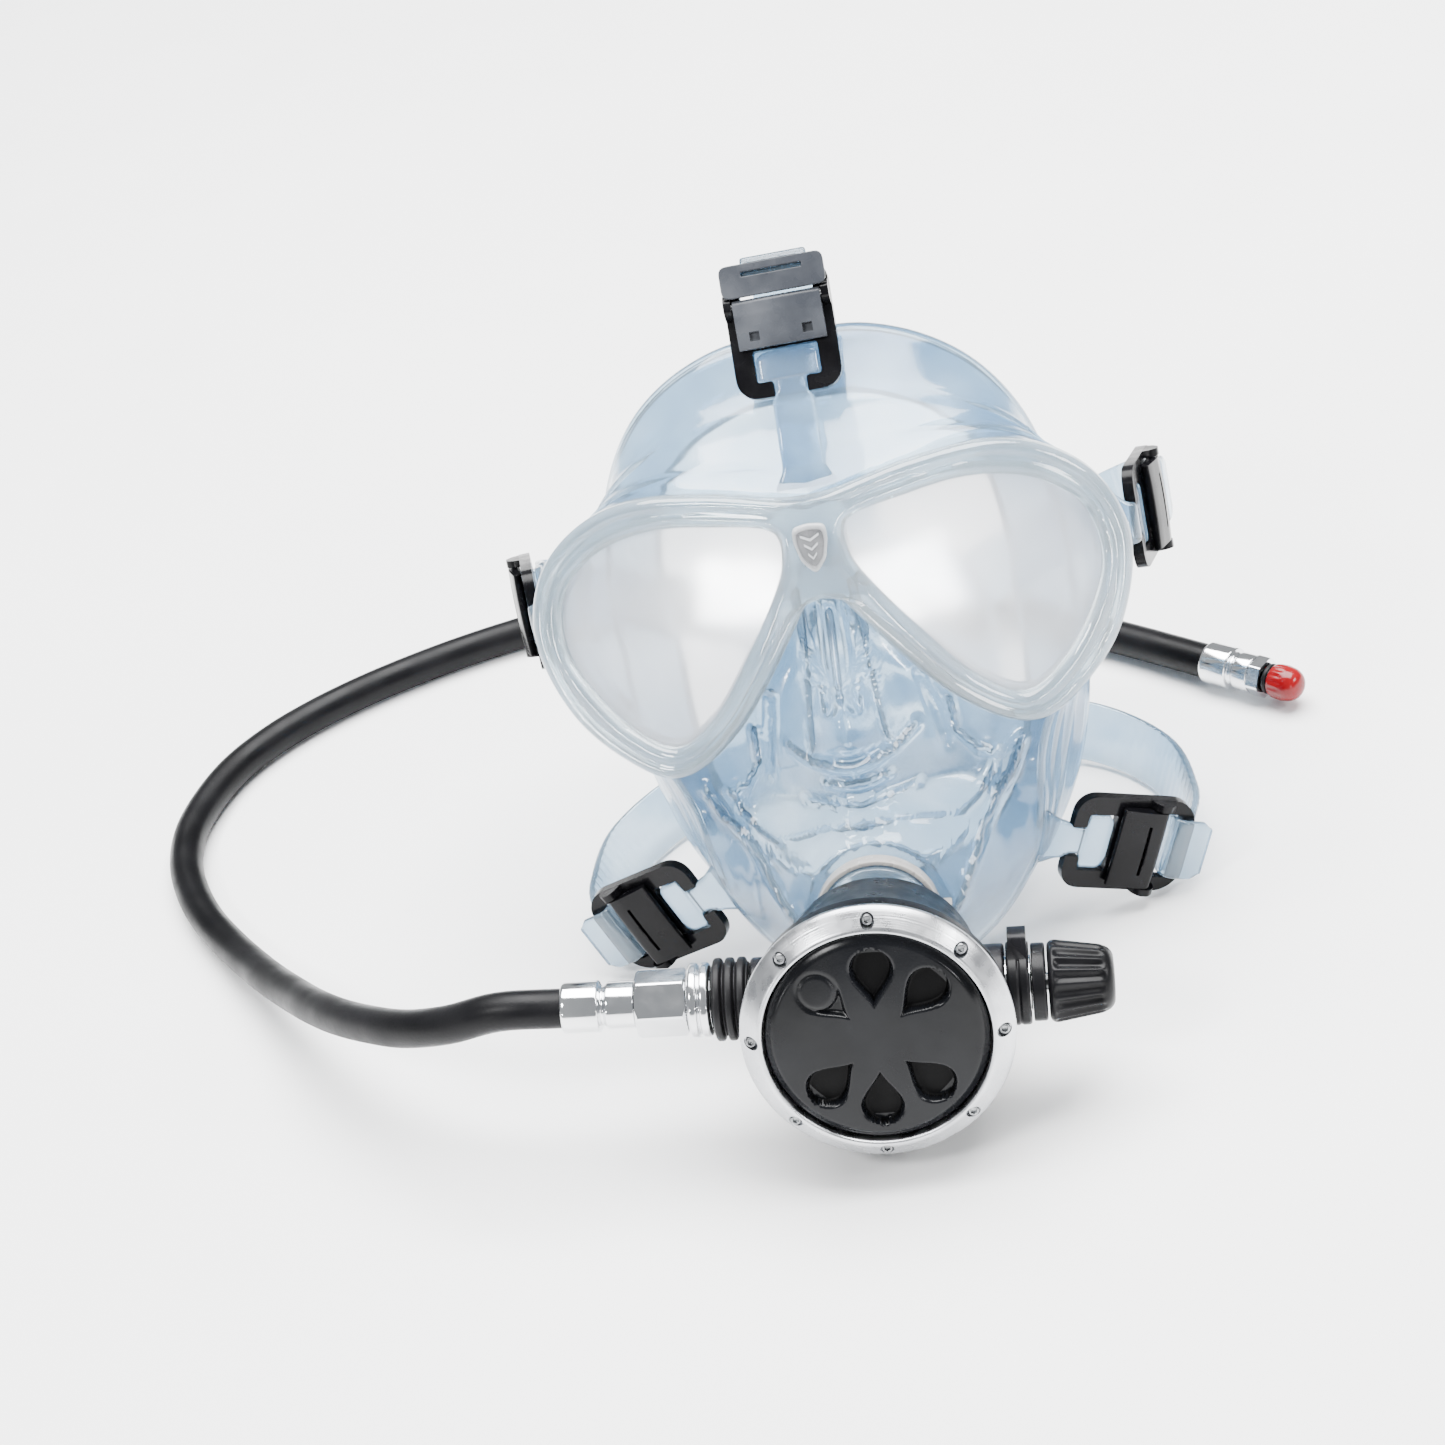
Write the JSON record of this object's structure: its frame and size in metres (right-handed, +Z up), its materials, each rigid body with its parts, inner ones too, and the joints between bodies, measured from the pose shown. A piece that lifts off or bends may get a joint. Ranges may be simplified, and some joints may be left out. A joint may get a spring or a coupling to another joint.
{
  "type": "full-face diving mask with demand regulator",
  "caption": "Full-face diving mask: soft clear skirt, twin lenses, strap harness with clip buckles, and a demand regulator with purge cover, adjusting knob and capped supply hose.",
  "frame": {"origin": "on the standing surface, under the middle of the mask, harness and regulator, without the hose", "axes": "+Z up from the surface; -Y the way the lenses and the regulator face; +X to the right for someone looking at the lenses"},
  "size_m": [0.3744, 0.3059, 0.1985],
  "materials": {
    "clear_silicone": "translucent, soft satin",
    "frosted_polycarbonate": "milky, semi-gloss",
    "clear_polycarbonate": "clear, semi-gloss",
    "tempered_glass": "polished",
    "grey_plastic": "smooth",
    "black_plastic": "moulded, semi-gloss",
    "stainless_steel": "turned",
    "satin_ring": "satin",
    "gloss_black": "gloss",
    "diaphragm_rubber": "smooth",
    "chromed_brass": "polished",
    "brass": "machined",
    "black_rubber": "matt",
    "hose_rubber": "matt",
    "red_plastic": "gloss"
  },
  "bodies": {
    "mask": {"bridge_badge": "grey_plastic", "buckle_body_lower_left": "black_plastic", "buckle_body_lower_right": "black_plastic", "buckle_body_top": "black_plastic", "buckle_body_upper_left": "black_plastic", "buckle_body_upper_right": "black_plastic", "case_ring": "satin_ring", "diaphragm": "diaphragm_rubber", "exhaust_tee": "black_rubber", "exhaust_valve": "clear_silicone", "far_end_fitting": "chromed_brass", "far_end_o_ring": "black_rubber", "far_end_plug": "chromed_brass", "front_bezel": "frosted_polycarbonate", "head_harness": "clear_silicone", "hose_end_fitting": "chromed_brass", "hose_nut": "chromed_brass", "inlet_boot": "black_rubber", "inlet_collar": "chromed_brass", "inlet_orifice": "chromed_brass", "lens_frame": "clear_polycarbonate", "lens_left": "tempered_glass", "lens_right": "tempered_glass", "lever_pin_lower_left": "stainless_steel", "lever_pin_lower_right": "stainless_steel", "lever_pin_top": "stainless_steel", "lever_pin_upper_left": "stainless_steel", "lever_pin_upper_right": "stainless_steel", "mouth_clamp": "black_plastic", "poppet_spring": "stainless_steel", "regulator_case": "black_plastic", "ring_screw_1": "stainless_steel", "ring_screw_2": "stainless_steel", "ring_screw_3": "stainless_steel", "ring_screw_4": "stainless_steel", "ring_screw_5": "stainless_steel", "ring_screw_6": "stainless_steel", "ring_screw_7": "stainless_steel", "ring_screw_8": "stainless_steel", "skirt": "clear_silicone", "supply_hose": "hose_rubber", "valve_tube": "chromed_brass"},
    "purge_button": {"purge_cover": "gloss_black"},
    "diaphragm_disc": {"diaphragm_plate": "stainless_steel"},
    "demand_arm": {"demand_lever": "stainless_steel"},
    "poppet": {"poppet": "brass"},
    "knob": {"adjusting_knob": "black_plastic", "adjusting_screw": "stainless_steel"},
    "venturi": {"venturi_lever": "black_plastic"},
    "cap": {"dust_cap": "red_plastic"},
    "clip_top": {"buckle_lever_top": "black_plastic"},
    "clip_upper_right": {"buckle_lever_upper_right": "black_plastic"},
    "clip_upper_left": {"buckle_lever_upper_left": "black_plastic"},
    "clip_lower_right": {"buckle_lever_lower_right": "black_plastic"},
    "clip_lower_left": {"buckle_lever_lower_left": "black_plastic"}
  },
  "joints": [
    {"name": "purge_press", "type": "slide", "parent": "mask", "child": "purge_button", "axis": [0, 0.9659, -0.2588], "range_m": [0, 0.003], "stiffness_N_per_m": 600, "springref_m": -0.003},
    {"name": "diaphragm_disc_travel", "type": "slide", "parent": "mask", "child": "diaphragm_disc", "axis": [0, 0.9659, -0.2588], "range_m": [0, 0.003]},
    {"name": "demand_lever_swing", "type": "hinge", "parent": "mask", "child": "demand_arm", "pos_m": [-0.00701, -0.08325, 0.04501], "axis": [-0.9945, 0.0271, 0.101], "range_deg": [0, 17.6]},
    {"name": "poppet_travel", "type": "slide", "parent": "mask", "child": "poppet", "axis": [0.9945, -0.0271, -0.101], "range_m": [0, 0.0008]},
    {"name": "knob_turn", "type": "hinge", "parent": "mask", "child": "knob", "pos_m": [0.05266, -0.0757, 0.0365], "axis": [0.9945, -0.0271, -0.101], "range_deg": [0, 720]},
    {"name": "venturi_turn", "type": "hinge", "parent": "mask", "child": "venturi", "pos_m": [0.03675, -0.07527, 0.03811], "axis": [0.9945, -0.0271, -0.101], "range_deg": [0, 50]},
    {"name": "clip_lift_top", "type": "hinge", "parent": "mask", "child": "clip_top", "pos_m": [0, 0.05293, 0.18801], "axis": [-1, 0, 0], "range_deg": [0, 60], "stiffness_Nm_per_rad": 0.05, "springref_deg": -5.73},
    {"name": "clip_lift_upper_right", "type": "hinge", "parent": "mask", "child": "clip_upper_right", "pos_m": [0.09539, 0.05483, 0.1012], "axis": [0, 0.342, 0.9397], "range_deg": [0, 60], "stiffness_Nm_per_rad": 0.05, "springref_deg": -5.73},
    {"name": "clip_lift_upper_left", "type": "hinge", "parent": "mask", "child": "clip_upper_left", "pos_m": [-0.09539, 0.05483, 0.1012], "axis": [0, -0.342, -0.9397], "range_deg": [0, 60], "stiffness_Nm_per_rad": 0.05, "springref_deg": -5.73},
    {"name": "clip_lift_lower_right", "type": "hinge", "parent": "mask", "child": "clip_lower_right", "pos_m": [0.07737, -0.00269, 0.01868], "axis": [0.3945, 0.1809, 0.9009], "range_deg": [0, 60], "stiffness_Nm_per_rad": 0.05, "springref_deg": -5.73},
    {"name": "clip_lift_lower_left", "type": "hinge", "parent": "mask", "child": "clip_lower_left", "pos_m": [-0.07737, -0.00269, 0.01868], "axis": [0.3945, -0.1809, -0.9009], "range_deg": [0, 60], "stiffness_Nm_per_rad": 0.05, "springref_deg": -5.73},
    {"name": "dust_cap_pull", "type": "slide", "parent": "mask", "child": "cap", "axis": [0.7586, -0.6512, 0.0219], "range_m": [0, 0.014]}
  ],
  "couplings": [
    {"joint": "diaphragm_disc_travel", "follows": "purge_press", "ratio": 1},
    {"joint": "demand_lever_swing", "follows": "purge_press", "rad_per_m": 102},
    {"joint": "poppet_travel", "follows": "purge_press", "ratio": 0.26}
  ]
}
